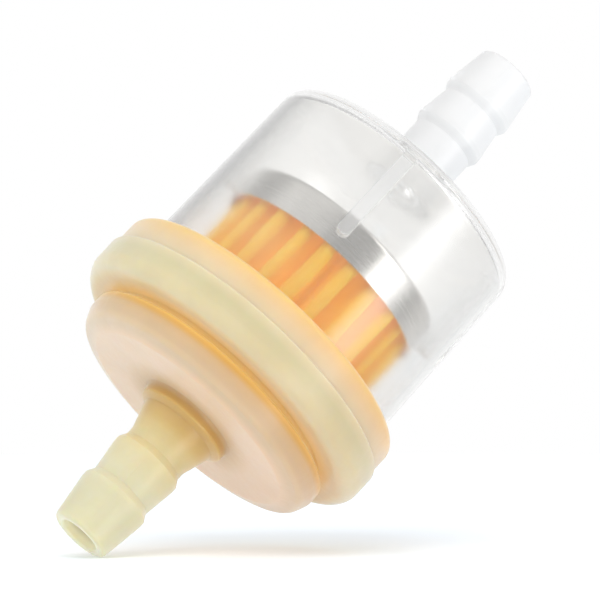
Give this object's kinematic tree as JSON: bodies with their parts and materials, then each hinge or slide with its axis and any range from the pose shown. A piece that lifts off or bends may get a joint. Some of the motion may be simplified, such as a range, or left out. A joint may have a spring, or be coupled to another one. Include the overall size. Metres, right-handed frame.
{
  "type": "fuel filter",
  "caption": "In-line fuel filter for small engines: clear bowl, cream end cap, pleated paper element and a hose barb at each end.",
  "frame": {"origin": "on the flow axis, at the outer lip of the outlet barb, where the fuel hose seals", "axes": "+Z along the flow axis from the outlet barb to the inlet barb; +X through one of the bowl's ribs"},
  "size_m": [0.034, 0.034, 0.064],
  "materials": {
    "clear_plastic": "clear gloss",
    "cream_nylon": "translucent satin",
    "filter_paper": "matt, resin treated",
    "tinplate": "satin",
    "clip_steel": "satin",
    "element_sealant": "cured compound",
    "joint_sealant": "cured adhesive"
  },
  "bodies": {
    "root": {"end_cap": "cream_nylon", "clear_bowl": "clear_plastic", "pleated_paper": "filter_paper", "seam_clip": "clip_steel", "element_cap": "tinplate", "cap_sealant": "element_sealant", "base_sealant": "element_sealant", "joint_sealant": "joint_sealant"}
  },
  "joints": []
}
